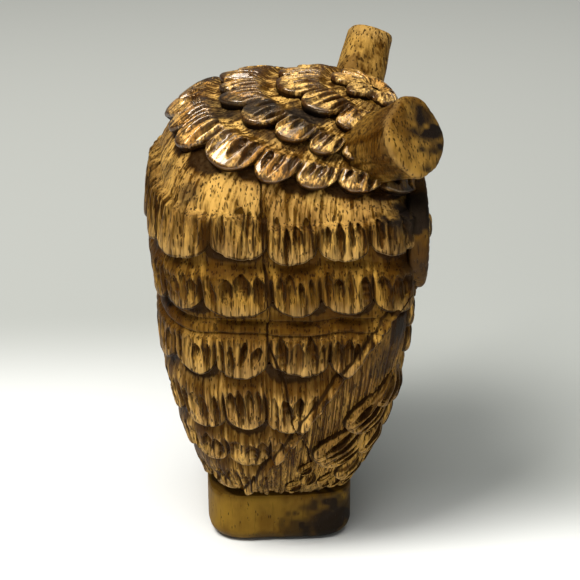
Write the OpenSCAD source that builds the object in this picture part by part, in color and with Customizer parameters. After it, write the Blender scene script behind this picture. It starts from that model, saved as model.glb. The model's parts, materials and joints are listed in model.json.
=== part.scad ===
// Owl figurine, carved in wood and glued up from separate pieces.
// Origin: centre of the base's flat underside. +Z is up and the owl faces -Y.

/* [Overall] */
// Height from the table to the ear tips
figure_h = 150; // [120:1:190]
// Width over the wings
body_w = 80; // [62:1:94]
// Depth over the wings, back to breast
body_d = 77; // [64:1:94]

/* [Base block] */
// Width of the base block, side to side
base_w = 42; // [36:1:52]
// Depth of the base block, back to front
base_d = 45; // [38:1:56]
// Height of the base block
base_h = 17; // [14:1:21]
// Radius of the base block's upright corners
base_corner = 7; // [4:0.5:10]
// Depth of the worn edge round the underside
base_edge = 3.5; // [2:0.5:5]

/* [Feather rows] */
// How far a trunk feather's lower edge stands off the row beneath
trunk_step = 2.2; // [1.2:0.1:3]
// How far a crown feather's edge stands off the row beneath
crown_step = 1.8; // [1:0.1:2.6]
// How far the folded wing stands off the belly
wing_step = 1.6; // [0.8:0.1:2.4]
// Swell of each feather row between its edges
row_swell = 0.9; // [0:0.1:1.6]

/* [Ear tufts] */
// Radius of the ear's glued root
ear_root_r = 9; // [7.5:0.1:10.5]
// Distance from the root to the ear's outer face
ear_reach = 17; // [14:0.5:20]
// Radius of the rounded ear tip
ear_tip_r = 4.2; // [3:0.1:5.5]
// Radius of the peg inside each ear
ear_peg_r = 2; // [1.5:0.1:3]
// Length of the peg inside each ear
ear_peg_len = 14; // [11:0.5:16]

/* [Face] */
// Radius of a facial disc
disc_r = 17.2; // [14.5:0.1:20.5]
// Thickness of a facial disc at its rim
disc_t = 5.4; // [4.4:0.1:7]
// Gap between the two facial discs
disc_gap = 0.6; // [0.4:0.1:2]
// Radius of an eye button
eye_r = 7.4; // [6:0.1:9]
// How far an eye button stands out of its disc
eye_dome = 1.6; // [1:0.1:2.4]
// Radius of a pupil peg
pupil_r = 3.1; // [2.4:0.1:4]
// Width of the beak at its root
beak_w = 8; // [6:0.1:10]
// Height of the beak
beak_h = 15; // [12:0.5:18]
// How far the beak stands out of the face
beak_reach = 8.5; // [7:0.5:11]
// Radius of the tenon that holds the beak
beak_tenon_r = 2; // [1.5:0.1:2.6]
// Length of the tenon that holds the beak
beak_tenon_len = 7; // [5:0.5:9]

/* [Base dowels] */
// Radius of a dowel between base and body
dowel_r = 3; // [2:0.1:4]
// Length of a dowel between base and body
dowel_len = 22; // [16:0.5:26]
// Distance between the two dowels
dowel_spacing = 20; // [14:0.5:24]

/* [Fits] */
// Glue gap round every peg, dowel, button and tenon
glue_gap = 0.06; // [0.03:0.01:0.1]
// Extra depth at the blind end of every bore
bore_relief = 0.8; // [0.3:0.1:1.5]

/* [Hidden] */

columns = 72;                  // points round each feather row
past = 40;                     // how far a cutting tool reaches past the wood

// A feather row: where its lower edge passes the back and the front, as [y, z]
// shares of half the depth and of the lift, its half width as a share of half the
// body's width, its squareness behind and in front, its number of feathers, and how
// far up the row the notch between two feathers goes. Rows run from the forehead down.
ROWS = [
    [[-0.42, 1.000], [-0.87, 0.950], 0.34, 2.0, 2.0,  6, 0.44],
    [[ 0.01, 0.998], [-0.90, 0.895], 0.57, 2.2, 2.4,  9, 0.46],
    [[ 0.44, 0.968], [-0.95, 0.845], 0.75, 2.5, 3.2, 16, 0.46],
    [[ 0.84, 0.892], [-1.01, 0.800], 0.93, 2.9, 5.0, 17, 0.42],
    [[ 1.00, 0.690], [-1.03, 0.690], 1.00, 3.4, 7.0, 18, 0.26],
    [[ 0.96, 0.552], [-1.03, 0.552], 1.00, 3.4, 7.0, 18, 0.24],
    [[ 0.93, 0.394], [-0.97, 0.394], 0.97, 3.3, 4.5, 18, 0.24],
    [[ 0.84, 0.249], [-0.89, 0.249], 0.89, 3.2, 3.4, 18, 0.24],
    [[ 0.76, 0.144], [-0.77, 0.144], 0.79, 3.0, 3.0, 18, 0.26],
    [[ 0.63, 0.050], [-0.64, 0.050], 0.65, 2.8, 2.8, 18, 0.30]
];
CROWN_ROWS = 4;
LAST = len(ROWS) - 1;
TRUNK_TOP = CROWN_ROWS;        // the first row of the trunk
FOREHEAD = [0, -0.76, 0.984];  // where the crown rows start, in the same shares
FOOT = [0.50, 0.54, 2.8, 2.8]; // the underside: half width, half depth, both squarenesses
WING_FRONT = [0.46, -0.76];    // the wing's lower edge starts here, as shares of lift and half depth
WING_TAIL = [0.0, 0.28];       // and ends here

function mix(a, b, t) = a + (b - a) * t;
function unit(v) = v / norm(v);
function side_yz(p) = [0, p[0] * body_d / 2, base_h + p[1] * lift];

// A ring is a rounded square from a back point to a front point, a half width wide.
// Angle 0 is the back and 90 is the owl's left.
function ring_point(back, front, half_w, behind, ahead, angle) =
    let(squareness = cos(angle) > 0 ? behind : ahead,
        centre = (back + front) / 2,
        half_d = norm(back - front) / 2,
        along = unit(back - front),
        r = pow(pow(abs(sin(angle)) / half_w, squareness)
              + pow(abs(cos(angle)) / half_d, squareness), -1 / squareness))
    centre + [r * sin(angle), 0, 0] + along * r * cos(angle);

// The full outline of row k at its feather tips.
function tip_point(k, angle) =
    k < 0 ? side_yz([FOREHEAD[1], FOREHEAD[2]])
          : ring_point(side_yz(ROWS[k][0]), side_yz(ROWS[k][1]),
                       ROWS[k][2] * body_w / 2, ROWS[k][3], ROWS[k][4], angle);

// Outward from the wood: level on the trunk, and from the middle of the head on the crown.
function outward(k, p) =
    k < TRUNK_TOP ? unit(p - HEAD_MIDDLE) : unit([p[0], p[1], 0]);
function step_of(k) = k < CROWN_ROWS ? crown_step : trunk_step * (1 - 0.1 * (k - TRUNK_TOP));

// Is this point of the trunk on the belly, in front of the folded wing?
function wing_edge_y(z) =
    let(t = ((z - base_h) / lift - WING_TAIL[0]) / (WING_FRONT[0] - WING_TAIL[0]))
    (t > 1 ? -2 : mix(WING_TAIL[1], WING_FRONT[1], max(t, 0))) * body_d / 2;
function belly_cut(k, p) =
    k >= TRUNK_TOP && p[1] < wing_edge_y(p[2]) ? wing_step : 0;

// The notch between two feathers is 1, and a feather's tip is 0.
function notch(k, angle) =
    let(f = angle * ROWS[k][5] / 360, across = 2 * (f - floor(f)) - 1)
    1 - sqrt(max(0, 1 - across * across));

function edge_point(k, angle) =
    let(tip = tip_point(k, angle),
        above = tip_point(k - 1, angle),
        p = mix(tip, above, ROWS[k][6] * notch(k, angle)))
    p - belly_cut(k, p) * outward(k, p);
function tucked_point(k, angle) =
    k < 0 ? mix(tip_point(-1, angle), tip_point(0, angle), 0.02)
          : let(p = edge_point(k, angle)) p - step_of(k) * outward(k, p);
function swell_point(k, angle) =
    let(p = mix(tucked_point(k - 1, angle), edge_point(k, angle), 0.55))
    p + row_swell * outward(k, p);
function foot_point(angle) =
    ring_point([0, FOOT[1] * body_d / 2, base_h], [0, -FOOT[1] * body_d / 2, base_h],
               FOOT[0] * body_w / 2, FOOT[2], FOOT[3], angle);

// Seats. The face is a flat cut across the head's front, and each ear has a round
// flat sunk into the head's top corner. The left ear stands up and the right one
// leans forward. An ear's frame is its root's centre as shares of half the width,
// half the depth and the lift, then the direction it grows in.
EAR_LEFT = [[0.56, -0.60, 0.892], unit([0.76, -0.30, 0.58])];
EAR_RIGHT = [[-0.58, -0.57, 0.868], unit([-0.62, -0.66, 0.42])];
EAR_BALLS = [[-0.62, 0.12, 1.00], [-0.34, -0.42, 0.98], [0.30, -0.30, 0.72], [0.26, 0.36, 0.66]];
peg_in_ear = ear_peg_len * 0.5;
peg_in_head = ear_peg_len - peg_in_ear;
eye_stem = 4;                  // how far an eye button goes into the head behind its disc
eye_inset = 0.4;               // how far the eye's edge lies behind the disc's rim
pupil_depth = 3.5;
pupil_dome = 0.5;

// A ball's centre in the ear's own frame, and how high it stands over the ear's root
// once the ear is leaned over.
function ear_ball(b) = [b[0] * ear_reach, b[1] * ear_reach, b[2] * ear_reach - ear_tip_r];
function ear_ball_rise(ear, b) =
    let(c = ear_ball(b), tilt = acos(ear[1][2])) -c[0] * sin(tilt) + c[2] * cos(tilt);
ear_rise = max([for (b = EAR_BALLS) ear_ball_rise(EAR_LEFT, b)]) + ear_tip_r;
// Height of everything the crown's top stands over the base block.
lift = (figure_h - base_h - ear_rise) / EAR_LEFT[0][2];

HEAD_MIDDLE = [0, -0.12 * body_d, base_h + 0.7 * lift];
face_y = -0.965 * body_d / 2;
disc_x = disc_r + disc_gap / 2;
disc_z = base_h + 0.69 * lift;
face_top = disc_z + disc_r + 1;
face_bottom = disc_z - disc_r - 1;
beak_z = disc_z - 0.35 * disc_r;

module along_ear(ear) {
    tilt = acos(ear[1][2]);
    turn = atan2(ear[1][1], ear[1][0]);
    translate([ear[0][0] * body_w / 2, ear[0][1] * body_d / 2, base_h + ear[0][2] * lift])
        rotate([0, tilt, turn]) children();
}
module both_ears() {
    along_ear(EAR_LEFT) children();
    along_ear(EAR_RIGHT) children();
}
module mirrored() {
    children();
    mirror([1, 0, 0]) children();
}
// Puts a shape drawn along +Z onto the face, pointing out of it.
module on_face(x, z) {
    translate([x, face_y, z]) rotate([90, 0, 0]) children();
}

// Carved skin of the trunk, wings and head, as one closed surface.
module carved_skin() {
    angles = [for (i = [0:columns - 1]) i * 360 / columns];
    rings = concat(
        [for (k = [0:LAST]) each [
            [for (a = angles) tucked_point(k - 1, a)],
            [for (a = angles) swell_point(k, a)],
            [for (a = angles) edge_point(k, a)]]],
        [[for (a = angles) tucked_point(LAST, a)],
         [for (a = angles) foot_point(a)]]);
    points = concat([for (r = rings) each r],
                    [side_yz([FOREHEAD[1], FOREHEAD[2] + 0.004]), [0, 0, base_h]]);
    top = len(rings) * columns;
    bottom = top + 1;
    last_ring = (len(rings) - 1) * columns;
    walls = [for (r = [0:len(rings) - 2], i = [0:columns - 1])
        let(j = (i + 1) % columns, a = r * columns, b = a + columns)
        each [[a + i, a + j, b + i], [a + j, b + j, b + i]]];
    caps = [for (i = [0:columns - 1])
        let(j = (i + 1) % columns)
        each [[top, j, i], [bottom, last_ring + i, last_ring + j]]];
    polyhedron(points, concat(walls, caps));
}

module body() {
    color("peru") difference() {
        carved_skin();
        translate([-past, face_y - past, face_bottom])
            cube([2 * past, past, face_top - face_bottom]);
        both_ears() {
            cylinder(r = ear_root_r + 1, h = past, $fn = 64);
            translate([0, 0, -peg_in_head - bore_relief])
                cylinder(r = ear_peg_r + glue_gap, h = past, $fn = 48);
        }
        mirrored() on_face(disc_x, disc_z)
            translate([0, 0, -eye_stem - bore_relief])
                cylinder(r = eye_r + glue_gap, h = past, $fn = 64);
        on_face(0, beak_z)
            translate([0, 0, -beak_tenon_len - bore_relief])
                cylinder(r = beak_tenon_r + glue_gap, h = past, $fn = 48);
        base_dowel_bores(base_h - 1, base_h + dowel_len / 2 + bore_relief);
    }
}

module base_dowel_bores(from, to) {
    mirrored() translate([dowel_spacing / 2, 0, from])
        cylinder(r = dowel_r + glue_gap, h = to - from, $fn = 48);
}

module rounded_slab(w, d, corner, thickness) {
    linear_extrude(thickness) union() {
        square([w - 2 * corner, d], center = true);
        square([w, d - 2 * corner], center = true);
        for (x = [-1, 1], y = [-1, 1])
            translate([x * (w / 2 - corner), y * (d / 2 - corner)])
                circle(r = corner, $fn = 64);
    }
}

module base_block() {
    slab = 0.4;
    color("sienna") difference() {
        hull() {
            rounded_slab(base_w - 2 * base_edge, base_d - 2 * base_edge,
                         base_corner - base_edge / 2, slab);
            translate([0, 0, base_edge + 1]) rounded_slab(base_w, base_d, base_corner, slab);
            translate([0, 0, base_h * 0.6]) rounded_slab(base_w, base_d, base_corner, slab);
            translate([0, 0, base_h - slab])
                rounded_slab(base_w - base_edge, base_d - base_edge, base_corner, slab);
        }
        base_dowel_bores(base_h - dowel_len / 2 - bore_relief, base_h + 1);
    }
}

module base_dowels() {
    color("burlywood") mirrored() translate([dowel_spacing / 2, 0, base_h - dowel_len / 2])
        cylinder(r = dowel_r, h = dowel_len, $fn = 48);
}

// One ear tuft in its own frame: the root at the origin and the ear along +Z.
module ear() {
    root = 1.5;
    difference() {
        hull() {
            cylinder(r = ear_root_r, h = root, $fn = 32);
            for (b = EAR_BALLS) translate(ear_ball(b)) sphere(r = ear_tip_r, $fn = 24);
        }
        translate([0, 0, -1]) cylinder(r = ear_peg_r + glue_gap,
                                       h = peg_in_ear + bore_relief + 1, $fn = 48);
    }
}

module ear_left() { color("peru") along_ear(EAR_LEFT) ear(); }
module ear_right() { color("peru") along_ear(EAR_RIGHT) ear(); }

module ear_pegs() {
    color("burlywood") both_ears()
        translate([0, 0, -peg_in_head]) cylinder(r = ear_peg_r, h = ear_peg_len, $fn = 48);
}

// A facial disc with a raised rim, a dished face and a bore for the eye.
module face_disc() {
    rim = 2.2;
    dish = 1.2;
    difference() {
        on_face(disc_x, disc_z) rotate_extrude($fn = 96) polygon([
            [eye_r + glue_gap, 0], [disc_r, 0], [disc_r, disc_t - 0.8],
            [disc_r - 0.8, disc_t], [disc_r - rim, disc_t],
            [disc_r - rim - 1, disc_t - dish], [eye_r + 2.4, disc_t - dish + 0.3],
            [eye_r + 1.2, disc_t - eye_inset], [eye_r + glue_gap, disc_t - eye_inset]]);
        translate([-past, face_y - past, beak_z - past])
            cube([past + beak_w / 2 + glue_gap, 2 * past, past + beak_h * 0.55]);
    }
}
module face_disc_left() { color("saddlebrown") face_disc(); }
module face_disc_right() { color("saddlebrown") mirror([1, 0, 0]) face_disc(); }

// An eye button: a stem into the head and a domed front, bored for its pupil.
module eye() {
    front = disc_t - eye_inset;
    difference() {
        on_face(disc_x, disc_z) union() {
            translate([0, 0, -eye_stem]) cylinder(r = eye_r, h = eye_stem + front, $fn = 64);
            rotate_extrude($fn = 64) intersection() {
                translate([0, front + eye_dome - dome_r(eye_r, eye_dome)])
                    circle(r = dome_r(eye_r, eye_dome), $fn = 96);
                translate([0, front - 0.5]) square([eye_r, eye_dome + 1]);
            }
        }
        on_face(disc_x, disc_z) translate([0, 0, front + eye_dome - pupil_depth - bore_relief])
            cylinder(r = pupil_r + glue_gap, h = past, $fn = 48);
    }
}
// Radius of the ball that a dome of radius r and height h is cut from.
function dome_r(r, h) = (r * r + h * h) / (2 * h);
module eye_left() { color("wheat") eye(); }
module eye_right() { color("wheat") mirror([1, 0, 0]) eye(); }

module pupil() {
    front = disc_t - eye_inset + eye_dome;
    on_face(disc_x, disc_z) rotate_extrude($fn = 48) union() {
        translate([0, front - pupil_depth]) square([pupil_r, pupil_depth]);
        intersection() {
            translate([0, front + pupil_dome - dome_r(pupil_r, pupil_dome)])
                circle(r = dome_r(pupil_r, pupil_dome), $fn = 64);
            translate([0, front - 0.2]) square([pupil_r, pupil_dome + 1]);
        }
    }
}
module pupil_left() { color("black") pupil(); }
module pupil_right() { color("black") mirror([1, 0, 0]) pupil(); }

module beak() {
    color("saddlebrown") {
        union() {
            on_face(0, beak_z) hull() {
                translate([-beak_w / 2 + glue_gap, -beak_h * 0.45, 0])
                    cube([beak_w - 2 * glue_gap, beak_h, 1]);
                translate([0, beak_h * 0.3, beak_reach * 0.55]) sphere(r = beak_w * 0.22, $fn = 24);
                translate([0, 0, beak_reach - beak_w * 0.2]) sphere(r = beak_w * 0.2, $fn = 24);
                translate([0, -beak_h * 0.5, beak_reach - beak_w * 0.14])
                    sphere(r = beak_w * 0.12, $fn = 24);
            }
            on_face(0, beak_z) translate([0, 0, -beak_tenon_len])
                cylinder(r = beak_tenon_r, h = beak_tenon_len + 1, $fn = 48);
        }
    }
}

body();
base_block();
base_dowels();
ear_left();
ear_right();
ear_pegs();
face_disc_left();
face_disc_right();
eye_left();
eye_right();
pupil_left();
pupil_right();
beak();
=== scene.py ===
# %% [markdown]
# # A carved wooden owl
#
# A small owl, 150 mm tall, cut with gouges from a block of straight-grained wood, then scorched,
# stained and lacquered. The grain stands upright, so the pores show as short dashes on upright
# faces and as dots wherever the wood faces the sky.
#
# The hard parts come in as a fixed frame. This script carves the visible skin around them.

# %% Open the frame
import json
import math
import bpy
import numpy as np
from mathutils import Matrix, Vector

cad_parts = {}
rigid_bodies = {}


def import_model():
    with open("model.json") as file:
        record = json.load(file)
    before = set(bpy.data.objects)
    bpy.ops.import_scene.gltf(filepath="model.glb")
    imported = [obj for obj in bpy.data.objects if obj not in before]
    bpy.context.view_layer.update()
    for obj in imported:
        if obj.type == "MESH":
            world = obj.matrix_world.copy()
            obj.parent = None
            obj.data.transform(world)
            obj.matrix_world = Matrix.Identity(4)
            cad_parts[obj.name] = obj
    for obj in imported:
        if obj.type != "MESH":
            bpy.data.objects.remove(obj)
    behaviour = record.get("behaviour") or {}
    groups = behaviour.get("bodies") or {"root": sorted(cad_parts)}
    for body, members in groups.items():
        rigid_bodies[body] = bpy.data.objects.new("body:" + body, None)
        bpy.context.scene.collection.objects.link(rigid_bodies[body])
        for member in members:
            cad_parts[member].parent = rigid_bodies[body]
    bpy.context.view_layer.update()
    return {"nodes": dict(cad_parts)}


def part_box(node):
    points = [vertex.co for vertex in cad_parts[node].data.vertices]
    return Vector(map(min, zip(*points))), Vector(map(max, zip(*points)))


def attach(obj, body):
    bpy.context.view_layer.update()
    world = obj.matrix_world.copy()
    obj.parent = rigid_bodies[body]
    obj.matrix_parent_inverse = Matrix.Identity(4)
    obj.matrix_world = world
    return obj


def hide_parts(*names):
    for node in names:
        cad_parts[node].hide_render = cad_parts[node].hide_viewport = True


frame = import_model()

# %% [markdown]
# ## Sizes and mesh tools
#
# The frame holds the exact sizes of the hard parts, so the carving takes its own sizes from the
# frame's boxes and no size is typed twice. The pieces are grids of points worked out with numpy
# and handed to Blender in one call each. Sculpting by hand could look as good, but a script
# can't repeat it, and thousands of separate mesh operators would be slow.

# %% Sizes shared by the whole carving
MM = 0.001
DETAIL = 0.96       # share of the full mesh density

body_low, body_high = (Vector(c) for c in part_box("body"))
half_w = (body_high.x - body_low.x) / 2
half_d = body_high.y
foot_z = body_low.z
lift = body_high.z - body_low.z
print(f"body: {2 * half_w / MM:.1f} mm wide, {lift / MM:.1f} mm tall, foot at {foot_z / MM:.1f} mm")

# what the script notes at each point for the stain, the painted shade and the lacquer
NOTES = ("cut", "line", "tip", "under", "barbs", "polish", "streak_and_shade")

# %% Mesh tools
wood_pieces = []


def keep(obj, cad_node, slot):
    """Note which part of the frame a finished piece stands for, and which wood it is."""
    wood_pieces.append((obj, cad_node, slot))
    print(f"{obj.name}: {len(obj.data.vertices)} points, {len(obj.data.polygons)} faces")


def rng(seed):
    return np.random.default_rng(seed)


def make_mesh(name, verts, faces, attributes):
    """A mesh object at the origin from numpy arrays, with one float per vertex for each attribute."""
    mesh = bpy.data.meshes.new(name)
    mesh.from_pydata(verts.tolist(), [], faces)
    mesh.update()
    attributes = dict(attributes, scorch_and_shade=scorch_and_shade_at(verts))
    for key, values in attributes.items():
        layer = mesh.attributes.new(key, "FLOAT", "POINT")
        layer.data.foreach_set("value", np.asarray(values, dtype=np.float32))
    mesh.polygons.foreach_set("use_smooth", [True] * len(mesh.polygons))
    obj = bpy.data.objects.new(name, mesh)
    bpy.context.collection.objects.link(obj)
    return obj


def grid_faces(rows, across, ring_down=False, ring_across=True):
    """Quads over a grid of points, row after row; either direction may close on itself."""
    i, j = np.meshgrid(np.arange(rows if ring_down else rows - 1),
                       np.arange(across if ring_across else across - 1), indexing="ij")
    ni, nj = (i + 1) % rows, (j + 1) % across
    return np.stack([i * across + j, ni * across + j, ni * across + nj, i * across + nj], -1).reshape(-1, 4)


def tube(name, grid, notes, flip=False):
    """A closed skin from a stack of rings of points, with one point closing each end."""
    rows, across = grid.shape[:2]
    verts = np.concatenate([grid.reshape(-1, 3), [grid[0].mean(0)], [grid[-1].mean(0)]])
    j = np.arange(across)
    k, last = (j + 1) % across, (rows - 1) * across
    faces = grid_faces(rows, across).tolist()
    faces += np.stack([np.full(across, rows * across), j, k], -1).tolist()
    faces += np.stack([np.full(across, rows * across + 1), last + k, last + j], -1).tolist()
    if flip:
        faces = [face[::-1] for face in faces]
    full = {}
    for key in NOTES:
        value = np.broadcast_to(np.asarray(notes.get(key, 0.0), dtype=float), (rows, across))
        full[key] = np.concatenate([value.reshape(-1), [value[0, 0], value[-1, 0]]])
    return make_mesh(name, verts, faces, full)


def smoothstep(a, b, x):
    t = np.clip((x - a) / (b - a), 0, 1)
    return t * t * (3 - 2 * t)


def value_noise(x, y, seed):
    """Smooth random numbers from -1 to 1 over the plane, one new value at each whole number."""
    table = rng(seed).uniform(-1, 1, (257, 257))
    xi, yi = np.floor(x).astype(int), np.floor(y).astype(int)
    fx, fy = x - xi, y - yi
    fx, fy = fx * fx * (3 - 2 * fx), fy * fy * (3 - 2 * fy)

    def at(i, j):
        return table[(xi + i) % 257, (yi + j) % 257]

    return ((at(0, 0) * (1 - fx) + at(1, 0) * fx) * (1 - fy)
            + (at(0, 1) * (1 - fx) + at(1, 1) * fx) * fy)

# %% [markdown]
# ## The form under the feathers
#
# A carver first saws and rasps the block to a plain shape, and only then cuts feathers into it.
# The plain shape here is a family of rings. Each ring is a rounded square that crosses the owl
# from a point on its back to a point on its front. The first rings lie on the forehead, the next
# ones spread over the crown and turn level, and the last ones narrow down to the base block.
# A point on the form is then given by two numbers: which ring, and how far round it. A box with
# modifiers could give the same shape, but its points wouldn't know which row they belong to.

# %% Rings of the plain form
# ring number, back [y, z], front [y, z], half width, squareness behind, squareness in front;
# y is in half depths, z in heights above the foot, width in half widths
RINGS = np.array([
    [-1, -0.72, 0.985, -0.78, 0.975, 0.03, 2.0, 2.0],
    [0, -0.42, 0.998, -0.87, 0.945, 0.32, 2.0, 2.0],
    [1, 0.00, 0.992, -0.90, 0.890, 0.54, 2.2, 2.4],
    [2, 0.42, 0.968, -0.94, 0.840, 0.70, 2.5, 3.2],
    [3, 0.775, 0.896, -0.95, 0.795, 0.825, 2.9, 5.0],
    [3.42, 0.91, 0.812, -0.96, 0.770, 0.905, 3.3, 6.5],
    [4, 0.94, 0.690, -0.96, 0.690, 0.935, 3.4, 7.0],
    [5, 0.89, 0.552, -0.96, 0.552, 0.935, 3.4, 7.0],
    [6, 0.87, 0.394, -0.94, 0.394, 0.907, 3.3, 4.5],
    [7, 0.78, 0.249, -0.86, 0.249, 0.831, 3.2, 3.4],
    [8, 0.70, 0.144, -0.75, 0.144, 0.736, 3.0, 3.0],
    [9, 0.58, 0.050, -0.62, 0.050, 0.603, 2.8, 2.8],
    [10, 0.53, 0.000, -0.54, 0.000, 0.475, 2.8, 2.8]])


def along(knots, values, x):
    """A smooth curve through the knots that doesn't overshoot them."""
    x = np.clip(x, knots[0], knots[-1])
    slope = np.diff(values) / np.diff(knots)
    tangent = np.zeros_like(values)
    same_way = slope[:-1] * slope[1:] > 0
    tangent[1:-1][same_way] = 2 * slope[:-1][same_way] * slope[1:][same_way] / (
        slope[:-1][same_way] + slope[1:][same_way])
    tangent[0], tangent[-1] = slope[0], slope[-1]
    i = np.clip(np.searchsorted(knots, x, side="right") - 1, 0, len(knots) - 2)
    h = knots[i + 1] - knots[i]
    t = (x - knots[i]) / h
    return ((2 * t**3 - 3 * t**2 + 1) * values[i] + (t**3 - 2 * t**2 + t) * h * tangent[i]
            + (-2 * t**3 + 3 * t**2) * values[i + 1] + (t**3 - t**2) * h * tangent[i + 1])


def walked_angles():
    """Angle round a ring for each share of the walk round it, so feathers come out equally wide."""
    angle = np.linspace(0, 2 * np.pi, 4001)
    n = np.where(np.cos(angle) > 0, 3.4, 7.0)
    r = ((np.abs(np.sin(angle)) / half_w) ** n + (np.abs(np.cos(angle)) / half_d) ** n) ** (-1 / n)
    x, y = r * np.sin(angle), r * np.cos(angle)
    walk = np.concatenate([[0], np.cumsum(np.hypot(np.diff(x), np.diff(y)))])
    return walk / walk[-1], angle


WALK, ANGLE = walked_angles()


def form(ring, u):
    """Points of the plain form: ring number and share of the way round, 0 at the back."""
    shares = [along(RINGS[:, 0], RINGS[:, c], ring) for c in range(1, 8)]
    by, bz, fy, fz, hw, behind, ahead = shares
    by, fy, bz, fz = by * half_d, fy * half_d, foot_z + bz * lift, foot_z + fz * lift
    square = smoothstep(1, 4, ring)
    angle = square * np.interp(u % 1.0, WALK, ANGLE) + (1 - square) * (u % 1.0) * 2 * np.pi
    n = np.where(np.cos(angle) > 0, behind, ahead)
    dy, dz = (by - fy) / 2, (bz - fz) / 2
    hd = np.hypot(dy, dz)
    r = ((np.abs(np.sin(angle)) / (hw * half_w)) ** n + (np.abs(np.cos(angle)) / hd) ** n) ** (-1 / n)
    reach = r * np.cos(angle) / hd
    return np.stack([r * np.sin(angle), (by + fy) / 2 + dy * reach, (bz + fz) / 2 + dz * reach], -1)


def form_normal(ring, u):
    """Outward direction of the plain form."""
    ring_step, turn_step = 0.01, 0.002
    down = form(ring + ring_step, u) - form(ring - ring_step, u)
    n = np.cross(form(ring, u + turn_step) - form(ring, u - turn_step), down)
    n /= np.linalg.norm(n, axis=-1, keepdims=True) + 1e-12
    return n


print("form at the back of ring 4:", np.round(form(np.array([4.0]), np.array([0.0]))[0] * 1000, 1))
print("outward there:", np.round(form_normal(np.array([4.0]), np.array([0.0]))[0], 2))

# %% [markdown]
# ## Where the folded wing ends
#
# On each side a raised edge runs down and back, from under the face to the base block. Behind it
# lie the wing's feathers. In front of it the belly is cut lower, with feathers that lean.
# The edge is a line drawn in the side view, so a point only has to know how far it is in front
# of that line. Cutting the meshes along the line would leave ragged faces; this leaves none.

# %% The wing's edge
WING_EDGE_Y = (-37.0, -29.6, -21.2, -5.0, 2.3, 10.5)     # mm, from the top down
WING_EDGE_Z = (92.0, 80.8, 70.4, 45.0, 33.1, 18.0)
ACROSS_EDGE = 0.84        # the edge slopes, so the distance square to it is shorter than along y


def ahead_of_wing(points):
    """How far each point lies in front of the wing's edge, in mm; negative on the wing."""
    y, z = points[..., 1] / MM, points[..., 2] / MM
    edge = np.interp(z, WING_EDGE_Z[::-1], WING_EDGE_Y[::-1])
    edge = np.where(z > WING_EDGE_Z[0], -99, edge)
    wander = 0.5 * value_noise(z * 0.21, z * 0, 3)
    return (edge + wander - y) * ACROSS_EDGE


print(f"the wing's edge runs from {WING_EDGE_Z[0]} mm down to {WING_EDGE_Z[-1]} mm")

# %% [markdown]
# ## Scorch marks and painted shade
#
# The carver darkens the wood with a torch before staining. The marks are soft round patches, and
# some of the same patches are painted shade: in the band under the crown's edge and at the end of
# the right ear. Each patch is a ball with a ragged border, and its strength at each point of a mesh
# becomes an attribute that the wood's material reads. A painted image could do that too, but it
# would need unwrapped faces. A drying crack runs down the right side, and it is cut into the
# surface.

# %% Scorch marks, painted shade and the drying crack
SCORCH_AND_SHADE_PATCHES = [      # x, y, z and radius in mm, then strength
    # the first two are painted shade, in the band under the crown's edge
    (-31, 27, 122, 4, 0.6), (-20, 34, 126, 5, 0.5),
    (-17, 6, 140, 7, 0.95), (-20, -6, 138, 7, 1.0), (-12, 16, 142, 8, 0.8), (-24, 2, 134, 4, 0.7),
    (-6, 20, 141, 8, 0.6), (-30, -18, 125, 5, 0.4),
    # these two are painted shade, at the end of the right ear
    (-33, -46, 142, 12, 1.0), (-34, -40, 151, 8, 0.8),
    (-20, -15, 7, 12, 1.0), (-21, -6, 4, 8, 0.8), (-14, -22, 8, 9, 0.8), (-20, 4, 1, 5, 0.5),
    (-34, -40, 118, 14, 1.0), (-36, -42, 100, 10, 0.6), (34, -40, 112, 14, 0.8),
    (-36, -30, 68, 7, 0.7), (-36, -36, 78, 8, 0.9), (20, -18, 5, 10, 0.8), (18, 24, 138, 8, 0.7),
    (26, 6, 134, 7, 0.8), (0, 40, 100, 7, 0.5), (28, 30, 78, 8, 0.5), (8, 38, 60, 6, 0.5)]
CRACK_Y = (5.8, 6.0, 4.4, 4.5, -0.4, -2.6, -7.5, -9.8)   # mm, along the owl's right side
CRACK_Z = (126.0, 107.0, 95.0, 79.1, 63.8, 51.0, 39.1, 28.0)


def scorch_and_shade_at(points):
    p = points.reshape(-1, 3) / MM
    total = np.zeros(len(p))
    for x, y, z, r, strength in SCORCH_AND_SHADE_PATCHES:
        far = np.sqrt(((p - (x, y, z)) ** 2).sum(1)) / r
        far = far + 0.35 * value_noise(p[:, 1] * 0.5 + x, p[:, 2] * 0.5 + p[:, 0] * 0.3, 5)
        total = np.maximum(total, strength * (1 - smoothstep(0.45, 1.15, far)))
    return total


def crack_at(points):
    """1 on the crack's line on the owl's right side, fading to 0 a millimetre away."""
    p = points.reshape(-1, 3) / MM
    line = np.interp(p[:, 2], CRACK_Z[::-1], CRACK_Y[::-1])
    line = line + 0.3 * value_noise(p[:, 2] * 0.3, p[:, 2] * 0, 8)
    width = 0.26 + 0.22 * value_noise(p[:, 2] * 0.16, p[:, 2] * 0, 18)
    near = np.exp(-((p[:, 1] - line) / np.maximum(width, 0.12)) ** 2)
    return near * (p[:, 0] < 0) * (p[:, 2] < CRACK_Z[0]) * (p[:, 2] > CRACK_Z[-1])


print(f"{len(SCORCH_AND_SHADE_PATCHES)} scorch marks, and a crack {CRACK_Z[0] - CRACK_Z[-1]:.0f} mm long")

# %% [markdown]
# ## Rows of feathers
#
# Each row is cut as a skirt: the wood slopes out from under the row above, runs down to a
# scalloped edge, and turns under it. A few gouge cuts per feather make the barbs. Every row is
# its own closed shell here, so the undercut below the edge is real and holds a real shadow.
# A displacement texture on one skin would be quicker to set up, but it can't make an undercut.
#
# While cutting, the script also notes at each point how deep in a cut it is, how close to the
# feather's edge, and how far under the row above. The stain and the painted shade follow those
# notes later.


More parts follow.
